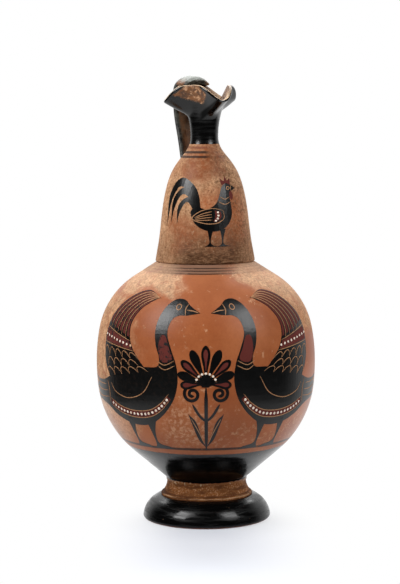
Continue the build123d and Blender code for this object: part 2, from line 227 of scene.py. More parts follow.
class Field:
    """A number, mask or colour that varies over a surface: one output of a node; a | b is the larger."""

    __add__ = operator("ADD")
    __sub__ = operator("SUBTRACT")
    __mul__ = operator("MULTIPLY")
    __truediv__ = operator("DIVIDE")
    __pow__ = operator("POWER")
    __or__ = operator("MAXIMUM")
    __abs__ = operator("ABSOLUTE")

    def __init__(self, nodes, socket):
        self.nodes = nodes
        self.socket = socket

    def __invert__(self):
        """The mask's opposite: 1 where it is 0 and 0 where it is 1."""
        return self.nodes.math("SUBTRACT", 1.0, self, clamp=True)

    def step(self, low, high):
        """0 below low and 1 above high, with a smooth way between."""
        settings = {"interpolation_type": "SMOOTHSTEP"}
        return self.nodes.field("ShaderNodeMapRange", self, low, high, settings=settings)

    def above(self, low, high):
        """The same step for a distance, between two sizes in millimetres."""
        return self.step(low * MM, high * MM)

    def zone(self, low, high, edge):
        """1 where a distance lies between two sizes in millimetres, 0 outside, with soft edges."""
        return self.above(low - edge, low + edge) * ~self.above(high - edge, high + edge)

    def line(self, middle, half, wobble):
        """1 on a painted line at a height or a radius in millimetres, with an edge that wavers a little."""
        return ~abs(self + wobble - middle * MM).above(half * 0.75, half * 1.25)

    def blend(self, first, second):
        """The first number where this mask is 0 and the second where it is 1."""
        return self.nodes.mix("FLOAT", self, first, second)

    def tint(self, under, paint):
        """A colour, covered by a second one where this mask is 1."""
        colours = [linear(c) if isinstance(c, tuple) else c for c in (under, paint)]
        return self.nodes.mix("RGBA", self, *colours)


class Nodes:
    """A node tree, written as short calls."""

    def __init__(self, owner, coordinates):
        owner.use_nodes = True
        self.tree = owner.node_tree
        self.tree.nodes.clear()
        self.place = self.field("ShaderNodeTexCoord", output=coordinates)
        self.x, self.y, self.z = self.split(self.place)

    def node(self, kind, *values, settings=None, **inputs):
        """A new node with its settings, and values for its inputs, in order or by name."""
        node = self.tree.nodes.new(kind)
        for name, setting in (settings or {}).items():
            setattr(node, name, setting)
        for key, value in (*enumerate(values), *inputs.items()):
            if isinstance(value, Field):
                self.tree.links.new(value.socket, node.inputs[key])
            else:
                node.inputs[key].default_value = value
        return node

    def field(self, kind, *values, output=0, **rest):
        """One output of a new node."""
        return Field(self, self.node(kind, *values, **rest).outputs[output])

    def split(self, vector):
        """The three numbers of a vector."""
        return [Field(self, part) for part in self.node("ShaderNodeSeparateXYZ", vector).outputs]

    def math(self, operation, *values, clamp=False):
        settings = {"operation": operation, "use_clamp": clamp}
        return self.field("ShaderNodeMath", *values, settings=settings)

    def mix(self, data_type, share, first, second):
        inputs = {"Factor": share, "A": first, "B": second}
        return self.field("ShaderNodeMix", output="Result", settings={"data_type": data_type}, **inputs)

    def level(self, right, toward):
        """Distance along a fixed level direction, by its shares to the photograph's right and its front."""
        turn = math.radians(CAMERA_AZIMUTH)
        along_x = right * math.cos(turn) + toward * math.sin(turn)
        along_y = right * math.sin(turn) - toward * math.cos(turn)
        return self.x * along_x + self.y * along_y


class Shader(Nodes):
    """A material's node tree in the part's own coordinates, with sizes in millimetres."""

    def __init__(self, name):
        self.material = bpy.data.materials.new(name)
        super().__init__(self.material, "Object")
        self.radius = self.math("SQRT", self.x ** 2 + self.y ** 2)
        self.aside = self.level(1, 0)
        self.toward = self.level(0, 1)

    def noise(self, size, detail=4.0, roughness=0.55, stretch=None):
        """Noise from 0 to 1 whose features are about size across."""
        place = self.place
        if stretch:
            place = self.field("ShaderNodeMapping", Vector=place, Scale=stretch)
        scale = 1 / (size * MM)
        return self.field("ShaderNodeTexNoise", Vector=place, Scale=scale, Detail=detail, Roughness=roughness)

    def waver(self, size, reach):
        """An offset that wavers by up to about reach, over features of about size."""
        return (self.noise(size, 6.0, 0.65) - 0.5) * (reach * MM)

    def spots(self, size, low, high):
        """Small round spots: 1 inside and 0 outside, in cells of about size."""
        scale = 1 / (size * MM)
        far = self.field("ShaderNodeTexVoronoi", output="Distance", Vector=self.place, Scale=scale)
        return ~far.step(low, high)

    def patch(self, centre, reach, edge, wobble):
        """1 near a point, 0 beyond its reach, with a ragged edge."""
        point = [c * MM for c in centre]
        settings = {"operation": "DISTANCE"}
        far = self.field("ShaderNodeVectorMath", self.place, point, output="Value", settings=settings)
        return ~(far + wobble).above(reach - edge, reach + edge)

    def patches(self, places, wobble):
        """1 in any of several patches."""
        covered = 0.0
        for place in places:
            covered = self.patch(*place, wobble) | covered
        return covered

    def scale(self, colour, factor):
        """A colour made lighter or darker by a factor."""
        if isinstance(colour, tuple):
            colour = linear(colour)[:3]
        return self.field("ShaderNodeVectorMath", colour, settings={"operation": "SCALE"}, Scale=factor)

    def finish(self, colour, roughness, height, depth, specular=PLAIN_SPECULAR):
        """The surface: colour, roughness and specular level, with bumps of the given depth."""
        bump = self.field("ShaderNodeBump", Height=height, Strength=1.0, Distance=depth * MM)
        looks = {"Base Color": colour, "Roughness": roughness, "Specular IOR Level": specular}
        surface = self.field("ShaderNodeBsdfPrincipled", Normal=bump, **looks)
        self.node("ShaderNodeOutputMaterial", surface)
        return self.material


def clay_layers(shader, wear, dullest):
    """Colour, roughness and height of fired clay: smooth and red where fresh, buff and grainy where worn."""
    fine = shader.noise(1.6, 3.0, 0.65)
    grain = shader.noise(0.7, 2.0, 0.6)
    pits = shader.spots(2.6, 0.16, 0.34) * shader.noise(6).step(0.45, 0.6)
    fresh = shader.noise(34, 5.0, 0.6).step(0.35, 0.7).tint(DEEP_CLAY, FRESH_CLAY)
    fresh = shader.scale(fresh, fine * 0.28 + dullest)
    worn = fine.step(0.22, 0.78).tint(BROWN_CLAY, WORN_CLAY)
    worn = shader.noise(5, 5.0, 0.65).step(0.5, 0.72).tint(worn, WORN_CLAY)
    cloudy = shader.noise(11, 5.0, 0.6).step(0.3, 0.7)
    worn = shader.scale(worn, cloudy * 0.28 + dullest)
    rosy = shader.noise(23, 5.0, 0.6).step(0.48, 0.68)
    worn = (rosy * 0.3).tint(worn, FRESH_CLAY)
    worn = (pits * 0.6).tint(worn, PIT_CLAY)
    height = (grain * 0.5 + fine * 0.5 - pits) * wear.blend(0.12, 1.0)
    return wear.tint(fresh, worn), wear.blend(0.4, 0.8), height


def slip_layers(shader, gloss):
    """Colour, roughness and height of fired black slip, browner where the brush laid it thin."""
    brushed = shader.noise(7, 4.0, 0.6, stretch=(1.0, 1.0, 3.0))
    streaks = shader.noise(5, stretch=(0.3, 0.3, 3.0))
    wheel_lines = shader.noise(9, 3.0, stretch=(0.15, 0.15, 4.0))
    colour = brushed.step(0.6, 0.85).tint(BLACK_SLIP, THIN_SLIP)
    roughness = streaks.step(0.35, 0.65).blend(*gloss)
    height = (wheel_lines + shader.noise(4, 2.0)) * 0.2
    return colour, roughness, height


def body_wear(shader):
    """Where the body has lost its smooth skin: its left, both sides of the shoulder, the back and scuffs."""
    aside = shader.aside + shader.waver(28, 40)
    height = shader.z + shader.waver(24, 40)
    in_front = shader.toward.above(-50, -10)
    left = aside.zone(-95, -49, 4) * height.zone(64, 172, 6) * height.above(75, 95).blend(0.55, 1.0)
    shoulder_left = aside.zone(-60, -18, 5) * height.zone(173, 205, 4)
    right = aside.zone(18, 95, 5) * (height + aside * 0.89).zone(209, 300, 6)
    patchy = shader.noise(8, 5.0, 0.65).step(0.34, 0.5).blend(0.4, 1.0)
    sides = (left | shoulder_left | right) * patchy * in_front
    behind = shader.noise(60, 6.0, 0.6).step(0.5, 0.58) * ~in_front * patchy
    low = aside.zone(-30, 80, 5) * height.zone(62, 84, 6) * shader.noise(4, 5.0, 0.7).step(0.5, 0.62)
    scuffs = shader.noise(5, 5.0, 0.7).step(0.57, 0.64) * shader.noise(20).step(0.56, 0.64)
    worn = sides | behind | (scuffs | low) * 0.5
    kept_skin = shader.patches(KEPT_SKIN, shader.waver(9, 9))
    return worn * kept_skin.blend(1.0, 0.3)


def body_material():
    """Clay of the body with its painted base, ground line and shoulder lines."""
    shader = Shader("body_clay")
    aside, z = shader.aside, shader.z
    wear = body_wear(shader)
    colour, roughness, height = clay_layers(shader, wear, 0.86)
    # Lower flanks: the clay's colour is lifted by 1.16 as a painted glare, and the clay there is also
    # glossier
    flank = ~aside.zone(-56, 56, 14) * ~z.above(90, 125)
    colour = shader.scale(colour, flank.blend(1.0, 1.16))
    flaked = shader.patch(*SHOULDER_FLAKES, shader.waver(6, 8)) * shader.noise(1.6, 3.0).step(0.58, 0.66)
    colour = (flaked * 0.8).tint(colour, CHIPPED_AND_HIGHLIGHT_CLAY)
    # Painted sheen: a pale film towards the top of the shoulder, stronger on worn clay
    top_sheen = z.above(150, 186) * wear.blend(0.03, 0.15)
    colour = top_sheen.tint(colour, PALE_SHEEN_CLAY)
    rubbed = shader.patch(*LOW_RUB, shader.waver(8, 12)) * shader.noise(2.6, 4.0, 0.65).step(0.46, 0.62)
    colour = (rubbed * 0.5).tint(colour, WORN_CLAY)
    inner_ring = ~(shader.radius + shader.waver(9, 5)).above(44.5, 47) * z.above(178, 180)
    middle = (aside + shader.waver(12, 14)).zone(-24, 16, 14)
    colour = (inner_ring * middle.blend(0.35, 0.9)).tint(colour, DUSTY_CLAY)
    wobble = shader.waver(15, 0.8)
    lines = z.line(GROUND_LINE, GROUND_LINE_HALF, wobble)
    on_shoulder = z.above(180, 182) * middle.blend(0.25, 0.9)
    for radius in SHOULDER_LINES:
        lines = lines | shader.radius.line(radius, SHOULDER_LINE_HALF, wobble) * on_shoulder
    colour = (lines * wear.blend(0.92, 0.4)).tint(colour, LINE_SLIP)
    foot_edge = ~(z + shader.waver(2.5, 2.4)).above(BARE_BELOW - 0.2, BARE_BELOW + 0.3)
    colour = foot_edge.tint(colour, STEM_CLAY)
    colour = (foot_edge * crowded_chips(shader)).tint(colour, CHIPPED_AND_HIGHLIGHT_CLAY)
    base = ~(z + wobble).above(BLACK_BELOW - 0.2, BLACK_BELOW + 0.2)
    flecks = shader.noise(3, 4.0, 0.7).step(0.68, 0.72)
    paint = base * ~foot_edge * flecks.blend(1.0, 0.6)
    slip_colour, slip_roughness, slip_height = slip_layers(shader, SLIP_GLOSS)
    colour = paint.tint(colour, slip_colour)
    roughness = (flank * ~paint).blend(paint.blend(roughness, slip_roughness), 0.3)
    height = paint.blend(height, slip_height)
    specular = paint.blend(flank.blend(0.2, 0.7), z.above(34, 50).blend(0.03, PLAIN_SPECULAR))
    return shader.finish(colour, roughness, height, 0.25, specular)


def bell_material():
    """Clay of the bell: mostly worn, smooth in a few patches, darker brown at its base, with painted lines,
    and painted shade that darkens it, most at its top.
    """
    shader = Shader("bell_clay")
    aside, z = shader.aside, shader.z
    wobble = shader.waver(14, 30)
    smooth_shaded_top = shader.patch(*BELL_SMOOTH_SHADED_TOP, wobble)
    smooth_skin = smooth_shaded_top | shader.patches(BELL_SMOOTH, wobble)
    mottled = shader.noise(3, 5.0, 0.7).step(0.35, 0.6)
    wear = ~(smooth_skin * mottled.blend(0.45, 0.95))
    # Painted shade: the bell's clay is drawn darker than the body's, and its smooth top patch darker still
    colour, roughness, height = clay_layers(shader, wear, 0.8)
    colour = shader.scale(colour, smooth_shaded_top.blend(1.0, 0.72))
    scratches = shader.noise(1.6, 3.0, stretch=(1.0, 1.0, 0.4)).step(0.6, 0.68)
    scratches = shader.patch(*BELL_SCRATCHES, wobble) * scratches
    colour = (scratches * 0.7).tint(colour, CHIPPED_AND_HIGHLIGHT_CLAY)
    # Darker, browner and streaked towards the bell's base, most at its front
    low = ~(z + shader.waver(9, 24)).above(197, 230)
    ahead = aside.zone(-19, 27, 10).blend(0.35, 1.0)
    streaky_grain = shader.noise(1.7, 4.0, 0.7, stretch=(0.5, 0.5, 1.4)).step(0.32, 0.6).blend(0.6, 1.0)
    colour = (low * ahead * streaky_grain).tint(colour, DARK_BROWN_CLAY)
    flank = (aside + z * 0.3 + wobble).zone(86, 150, 6)
    # The bell's right upper flank is drawn darker by a factor, and speckled dark brown
    darker_flank = flank * z.above(222, 250)
    colour = shader.scale(colour, darker_flank.blend(1.0, 0.85))
    speckled = flank * shader.noise(1.8, 4.0, 0.7).step(0.47, 0.6)
    colour = (speckled * 0.55).tint(colour, DARK_BROWN_CLAY)
    wobble = shader.waver(9, 0.7)
    upper, lower, faint = [z.line(line, BELL_LINE_HALF, wobble) for line in (*BELL_LINES, FAINT_LINE)]
    kept = ~aside.above(0, 5)
    colour = ((upper | lower) * kept.blend(0.12, 0.85)).tint(colour, LINE_SLIP)
    colour = (faint * kept * 0.5).tint(colour, ADDED_RED)
    return shader.finish(colour, roughness, height, 0.25, 0.18)


def crowded_chips(shader):
    """Small chips, crowded in a few places."""
    return shader.noise(2, 3.0).step(0.5, 0.6) * shader.noise(14).step(0.52, 0.6)


def stem_material():
    """Bare clay of the stem: brown and streaked, with golden specks, a chipped top, a painted highlight on
    its fillet and painted shade in its groove and at its foot.
    """
    shader = Shader("stem_clay")
    z = shader.z
    grain = shader.noise(1.3, 4.0, 0.7, stretch=(0.6, 0.6, 1.5))
    streaks = shader.noise(8, 5.0, 0.65, stretch=(0.4, 0.4, 2.0))
    golden = shader.noise(1.1, 3.0).step(0.52, 0.62) * streaks.step(0.42, 0.6)
    # Painted shade: dark lines in the groove above the fillet and at the bottom of the stem, next to the foot
    groove = z.zone(20.1, 20.9, 0.2) | ~z.above(17.9, 18.3)
    # Painted highlight: a pale, broken line along the top of the fillet
    fillet = z.zone(19.0, 19.5, 0.2) * streaks.step(0.36, 0.55)
    top_edge = z.above(27.6, 28.6) * crowded_chips(shader)
    colour = streaks.step(0.34, 0.6).tint(DARK_STEM, STEM_CLAY)
    colour = shader.scale(colour, grain * 0.76 + 0.62)
    colour = (golden * 0.55).tint(colour, WORN_CLAY)
    colour = (groove * 0.75).tint(colour, DARK_STEM)
    colour = (fillet * 0.5).tint(colour, CHIPPED_AND_HIGHLIGHT_CLAY)
    colour = (top_edge * 0.7).tint(colour, CHIPPED_AND_HIGHLIGHT_CLAY)
    return shader.finish(colour, 0.75, grain, 0.35, 0.15)


def rim_drop(shader):
    """Depth in millimetres below the top of the mouth's lip at the same turn round the axis."""
    lobe, pinch = math.radians(LOBE_ANGLE), math.radians(PINCH_ANGLE)
    lobe_shift, pinch_shift = 2 * math.pi / 3 - lobe, math.pi / 3 - pinch
    scale = math.sin(lobe) * math.sin(2 * pinch) - math.sin(2 * lobe) * math.sin(pinch)
    first = (lobe_shift * math.sin(2 * pinch) - pinch_shift * math.sin(2 * lobe)) / scale
    second = (pinch_shift * math.sin(lobe) - lobe_shift * math.sin(pinch)) / scale
    turn = shader.math("ARCTAN2", shader.x, shader.y * -1.0)
    shifted = turn + (shader.math("SINE", turn) * first + shader.math("SINE", turn * 2.0) * second)
    wave = shader.math("COSINE", shifted * 3.0)
    share = shader.math("MULTIPLY", wave + 1.0, 0.5, clamp=True)
    ahead = shader.math("COSINE", turn)
    power = shader.math("LESS_THAN", ahead, math.cos(lobe)).blend(PINCH_DIP_POWER, BACK_DIP_POWER)
    back = (ahead * -1.0 | 0.0) ** 2.0
    rise = (share ** power).blend(back.blend(PINCH_RISE, BACK_RISE), LOBE_RISE)
    return rise + (TUBE_TOP + LIP_CROWN) - shader.z / MM


def outward(shader):
    """How far a surface faces away from the axis: 1 straight out, -1 straight in."""
    normal = shader.split(shader.field("ShaderNodeNewGeometry", output="Normal"))
    return (normal[0] * shader.x + normal[1] * shader.y) / shader.radius


def slip_material(name, bare, gloss, specular=PLAIN_SPECULAR, sheen=None):
    """Black slip over clay; bare(shader) lists where clay shows through, as pairs of a mask and a colour."""
    shader = Shader(name)
    colour, roughness, height = slip_layers(shader, gloss)
    grain = shader.noise(1.6, 3.0, 0.65)
    lightness = grain * 0.6 + 0.7
    for mask, clay in bare(shader):
        colour = mask.tint(colour, shader.scale(clay, lightness))
        roughness = mask.blend(roughness, 0.65)
        height = mask.blend(height, grain)
    if sheen:
        specular = sheen(shader, specular)
    return shader.finish(colour, roughness, height, 0.2, specular)


def mouth_bare(shader):
    """Worn places of the mouth: most of the inside, a patch outside the near pinch and a line on the lip."""
    aside = shader.aside
    facing = outward(shader)
    inside = ~facing.step(-0.35, -0.1) * shader.noise(7, 5.0, 0.65).step(0.35, 0.65).blend(0.5, 0.9)
    height = shader.z + shader.waver(5, 4)
    leaf = (height + aside * 0.29).above(308.1, 309.5) * ~(height - aside * 0.67).above(330.3, 332.1)
    leaf = leaf * ~(height + aside * 1.08).above(316.8, 318.4)
    near = shader.toward.above(4, 6) * facing.step(0.0, 0.2)
    far = shader.math("SQRT", (aside + 8.5 * MM | 0.0) ** 2 + (height - 315.5 * MM) ** 2)
    mottled = shader.noise(3, 4.0, 0.65).step(0.35, 0.6).blend(0.35, 0.95)
    rusty = leaf * near * ~far.above(8.8, 10.4) * mottled
    tan = rusty * shader.noise(2.5, 4.0, 0.65).step(0.5, 0.64)
    left_lobe = ~aside.above(-22, -14)
    right_lobe = aside.above(16.5, 18.5)
    lip_edge = rim_drop(shader) + shader.noise(3, 4.0) * 0.5 + left_lobe * 0.2
    lip = ~lip_edge.step(0.35, 0.6) * facing.step(-0.5, -0.2) * ~facing.step(0.6, 0.85)
    lip = lip * left_lobe.blend(1.0, 0.5) * right_lobe.blend(1.0, 0.4)
    return [(inside, INNER_CLAY), (rusty, RUSTY_CLAY), (tan, WORN_CLAY), (lip, CHIPPED_AND_HIGHLIGHT_CLAY)]


def mouth_sheen(shader, plain):
    """Specular level of the mouth: dull in the fold beside the near pinch and strong under the right lobe."""
    aside, z = shader.aside, shader.z
    fold = (z - aside * 0.78).zone(299, 305, 1.2) * aside.zone(-3, 12, 2) * shader.toward.above(0, 4)
    under = aside.zone(10, 60, 1.5) * z.zone(298, 312, 1.5)
    return fold.blend(under.blend(plain, 1.0), 0.08)


def handle_bare(shader):
    """Worn places of the handle: its inner face, the haunch, the nose and dull blotches, with a painted grey
    highlight on its crest.
    """
    aside, z = shader.aside, shader.z
    dull = shader.noise(6, 5.0, 0.65).step(0.42, 0.6) * 0.45
    scuffs = shader.noise(5, 5.0, 0.65).step(0.62, 0.72) * 0.4
    haunch = shader.patch(*HANDLE_HAUNCH, shader.waver(6, 5)) * 0.75
    beside = abs(shader.x) + shader.waver(5, 3)
    inner = ~outward(shader).step(-0.6, -0.2) * ~beside.above(3.5, 6) * ~z.above(312, 318)
    inner = inner * shader.noise(7, 5.0, 0.6).step(0.3, 0.65).blend(0.12, 0.6)
    # Painted highlight: a pale grey glare along the crest of the hump
    level = z - aside * 0.08 + shader.waver(5, 4)
    crest = level.above(325.9, 327.3) * aside.zone(-17, 1, 2)
    crest = crest * shader.noise(4, 4.0).step(0.35, 0.6).blend(0.6, 0.9)
    nose = z.above(315, 317) * aside.above(0, 3) * 0.85
    return [
        (dull, DULL_SLIP), (scuffs, BROWN_CLAY), (haunch, RUSTY_CLAY),
        (inner, RUSTY_CLAY), (crest, GREY_GLARE), (nose, INNER_CLAY),
    ]


def foot_bare(shader):
    """Worn places of the foot: small chips and the bottom edge."""
    chips = shader.noise(4, 5.0, 0.7).step(0.69, 0.73) * 0.5
    return [(chips, WORN_CLAY), (~shader.z.above(0.5, 1.2), EDGE_CLAY)]


def tube_bare(shader):
    """Small chips of the tube."""
    chips = shader.noise(4, 5.0, 0.7).step(0.7, 0.74) * 0.6
    return [(chips, WORN_CLAY)]


def figure_material(name, paint, rubbed_paint, roughness, amount):
    """Paint of the figures, rubbed towards a second colour in places."""
    shader = Shader(name)
    rubbed = shader.noise(6, 6.0, 0.7).step(0.78 - amount, 0.9 - amount)
    worn_side = shader.patch(*FIGURES_WORN_SIDE, 0.0) * shader.noise(3, 5.0, 0.7).step(0.5, 0.62)
    colour = (rubbed | worn_side).tint(paint, rubbed_paint)
    return shader.finish(colour, shader.noise(5).blend(*roughness), shader.noise(1.5), 0.05)


def smooth(points, closed=False, spacing=CURVE_STEP):
    """Curve through points (x, y); a third value marks a corner."""
    count = len(points)
    spots = [Vector(p[:2]) for p in points]
    corner = [len(p) > 2 for p in points]
    curve = []
    for i in range(count if closed else count - 1):
        here, there = spots[i], spots[(i + 1) % count]
        chord = there - here
        leave = chord if corner[i] or (i == 0 and not closed) else (there - spots[i - 1]) / 2
        last = not closed and i == count - 2
        arrive = chord if corner[(i + 1) % count] or last else (spots[(i + 2) % count] - here) / 2
        pieces = max(2, math.ceil(chord.length / spacing))
        for k in range(pieces):
            t = k / pieces
            curve.append(
                here * (2 * t**3 - 3 * t**2 + 1) + leave * (t**3 - 2 * t**2 + t)
                + there * (3 * t**2 - 2 * t**3) + arrive * (t**3 - t**2)
            )
    if not closed:
        curve.append(spots[-1])
    return curve


def filled(outline):
    """Flat mesh inside a closed outline, cut into small cells so that it can follow a curved wall."""
    loop = [Vector((p[0], p[1], 0)) for p in outline]
    mesh = bmesh.new()
    corners = [mesh.verts.new(p) for p in loop]
    for triangle in tessellate_polygon([loop]):
        mesh.faces.new([corners[i] for i in triangle])
    for axis in (0, 1):
        low = math.floor(min(p[axis] for p in loop) / CELL) + 1
        high = math.ceil(max(p[axis] for p in loop) / CELL)
        normal = Vector((1, 0, 0)) if axis == 0 else Vector((0, 1, 0))
        for cut in range(low, high):
            everything = mesh.verts[:] + mesh.edges[:] + mesh.faces[:]
            bmesh.ops.bisect_plane(mesh, geom=everything, plane_co=normal * cut * CELL, plane_no=normal)
    bmesh.ops.remove_doubles(mesh, verts=mesh.verts[:], dist=WELD)
    bmesh.ops.recalc_face_normals(mesh, faces=mesh.faces[:])
    mesh.verts.index_update()
    spots = [v.co.xy.copy() for v in mesh.verts]
    faces = [[v.index for v in f.verts] for f in mesh.faces]
    faces = [f for f in faces if abs(signed_area(spots, f)) > SMALLEST_FACE]
    mesh.free()
    return spots, [f if signed_area(spots, f) > 0 else f[::-1] for f in faces]


def signed_area(spots, face):
    """Area of a flat face, negative where its corners run clockwise."""
    return sum(spots[a].cross(spots[b]) for a, b in zip(face, face[1:] + face[:1])) / 2


def strip(curve, width, taper=True):
    """Brush or graver stroke along a curve, thinner at its ends if tapered."""
    count = len(curve)
    spots = []
    for i, point in enumerate(curve):
        along = curve[min(i + 1, count - 1)] - curve[max(i - 1, 0)]
        side = Vector((-along.y, along.x)).normalized()
        reach = min(i, count - 1 - i) / max(1, STROKE_END * (count - 1))
        half = width / 2 * (min(1.0, STROKE_TIP + (1 - STROKE_TIP) * reach) if taper else 1.0)
        spots += [point - side * half, point + side * half]
    faces = [[2 * i, 2 * i + 2, 2 * i + 3, 2 * i + 1] for i in range(count - 1)]
    return spots, faces


def even(start, end, count):
    """Numbers from start to end, count equal steps apart."""
    return [start + (end - start) * k / count for k in range(count + 1)]


def polar(centre, radius, turn):
    """Point at a radius and a turn in radians round a centre."""
    return Vector(centre) + radius * Vector((math.cos(turn), math.sin(turn)))


def round_points(centre, radius, sides):
    """Points of a circle."""
    return [polar(centre, radius, turn) for turn in even(0, 2 * math.pi, sides)[:-1]]


def along_curve(curve, share):
    """Point at a share of a curve's count of points."""
    place = max(0.0, min(1.0, share)) * (len(curve) - 1)
    index = min(int(place), len(curve) - 2)
    return curve[index].lerp(curve[index + 1], place - index)


def between(curves, along, share):
    """Point at a share of the way from the first of two curves to the second."""
    first, second = [along_curve(curve, along) for curve in curves]
    return first.lerp(second, share)


def across(curves, cells, shares=(0, 1), run=(0, 1)):
    """Patch between two curves: from share to share of the way across, for a run of their length."""
    cells_across, cells_along = cells
    spots = []
    for along in even(*run, cells_along):
        spots += [between(curves, along, share) for share in even(*shares, cells_across)]
    row = cells_across + 1
    corners = [i * row + k for i in range(cells_along) for k in range(cells_across)]
    faces = [[c, c + 1, c + row + 1, c + row] for c in corners]
    if signed_area(spots, faces[0]) < 0:
        faces = [f[::-1] for f in faces]
    return spots, faces


def moved(points, hand=1, shift=0):
    """Points mirrored in x where hand is -1, then shifted along x."""
    return [(hand * p[0] + shift, *p[1:]) for p in points]


def new_object(name, data):
    """A new object in the scene."""
    made = bpy.data.objects.new(name, data)
    bpy.context.scene.collection.objects.link(made)
    return made


class Wall:
    """The outside of the clay nodes, for laying paint on."""

    def __init__(self, nodes):
        spots, faces = [], []
        for node in nodes:
            start = len(spots)
            spots += [v.co.copy() for v in node.data.vertices]
            faces += [[start + i for i in f.vertices] for f in node.data.polygons]
        self.tree = BVHTree.FromPolygons(spots, faces)

    def point(self, azimuth, height, lift):
        """Point on the wall at an azimuth in radians and a height in metres, lifted by millimetres."""
        way = Vector((math.sin(azimuth), -math.cos(azimuth), 0))
        place, normal = self.tree.ray_cast(way * RAY_START + Vector((0, 0, height)), -way)[:2]
        return place + normal * lift * MM

    def reach(self, height):
        """Radius of the wall on the spout's side, at a height in metres."""
        return self.point(0.0, height, 0.0).xy.length


class Panel:
    """A place on the wall for one figure: x runs round the wall and y up it, in millimetres."""

    def __init__(self, wall, azimuth, ground, size, flip):
        self.wall, self.ground, self.size, self.flip = wall, ground, size, flip
        self.azimuth = math.radians(azimuth)
        self.widest = wall.reach((ground + FIGURE_MIDDLE * size) * MM)

    def place(self, spot, lift):
        """Point on the wall of one spot of the figure."""
        height = (self.ground + spot[1] * self.size) * MM
        radius = (self.widest + self.wall.reach(height)) / 2
        turn = self.flip * spot[0] * self.size * MM / radius
        return self.wall.point(self.azimuth + turn, height, lift)


class Paint:
    """One painted piece: thin closed plates of one colour laid on the wall."""

    def __init__(self, name, material, slot):
        self.name, self.material, self.slot = name, material, slot
        self.spots, self.faces = [], []

    def add(self, panel, shape, lifts):
        """A flat shape as a closed plate, from under the wall up to one lift or to one for each spot."""
        spots, faces = shape
        if panel.flip < 0:
            faces = [f[::-1] for f in faces]
        start = len(self.spots)
        count = len(spots)
        tops = lifts if isinstance(lifts, list) else [lifts] * count
        self.spots += [panel.place(p, top) for p, top in zip(spots, tops)]
        self.spots += [panel.place(p, SUNK) for p in spots]
        edges = {(a, b) for f in faces for a, b in zip(f, f[1:] + f[:1])}
        self.faces += [[start + i for i in f] for f in faces]
        self.faces += [[start + count + i for i in f[::-1]] for f in faces]
        for a, b in sorted(edges):
            if (b, a) not in edges:
                self.faces.append([start + a, start + count + a, start + count + b, start + b])

    def dot(self, panel, centre, radius):
        """A raised round dot."""
        spots = [Vector(centre)]
        lifts = [DOT_LIFT + DOT_CROWN]
        for share, rise in ((DOT_FLAT, DOT_SHOULDER), (1.0, 0.0)):
            spots += round_points(centre, radius * share, DOT_SIDES)
            lifts += [DOT_LIFT + rise] * DOT_SIDES
        inner = range(1, 1 + DOT_SIDES)
        sides = list(zip(inner, [*inner[1:], inner[0]]))
        faces = [[0, here, there] for here, there in sides]
        faces += [[here, here + DOT_SIDES, there + DOT_SIDES, there] for here, there in sides]
        self.add(panel, (spots, faces), lifts)

    def build(self):
        mesh = bpy.data.meshes.new(self.name)
        mesh.from_pydata([tuple(p) for p in self.spots], [], self.faces)
        mesh.materials.append(self.material)
        mesh.update()
        piece = new_object(self.name, mesh)
        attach(piece, "root")


class Figure:
    """The four paints of one figure on one panel."""

    def __init__(self, name, panel, paints):
        self.panel = panel
        self.black = Paint(f"{name}_black", paints["black"], "black_gloss")
        self.red = Paint(f"{name}_red", paints["red"], "added_red")
        self.line = Paint(f"{name}_incised", paints["line"], "red_clay")
        self.white = Paint(f"{name}_dots", paints["white"], "added_white")

    def blacken(self, shape):
        self.black.add(self.panel, shape, BLACK_LIFT)

    def fill(self, points):
        self.blacken(filled(smooth(points, closed=True)))

    def stroke(self, curve, width, taper=False):
        self.blacken(strip(curve, width, taper))

    def redden(self, shape):
        self.red.add(self.panel, shape, RED_LIFT)

    def fill_red(self, points, spacing=CURVE_STEP):
        self.redden(filled(smooth(points, closed=True, spacing=spacing)))

    def score(self, curve, width=LINE_WIDTH, taper=True):
        self.line.add(self.panel, strip(curve, width, taper), LINE_LIFT)

    def incise(self, points, width=LINE_WIDTH):
        self.score(smooth(points), width)

    def circle(self, centre, radius):
        points = round_points(centre, radius, CIRCLE_SIDES)
        self.score(points + points[:1], taper=False)

    def dots(self, curve, count, radius, start=0.04, end=0.96):
        for share in even(start, end, count - 1):
            self.white.dot(self.panel, along_curve(curve, share), radius)

    def build(self):
        for paint in (self.black, self.red, self.line, self.white):
            if paint.faces:
                paint.build()


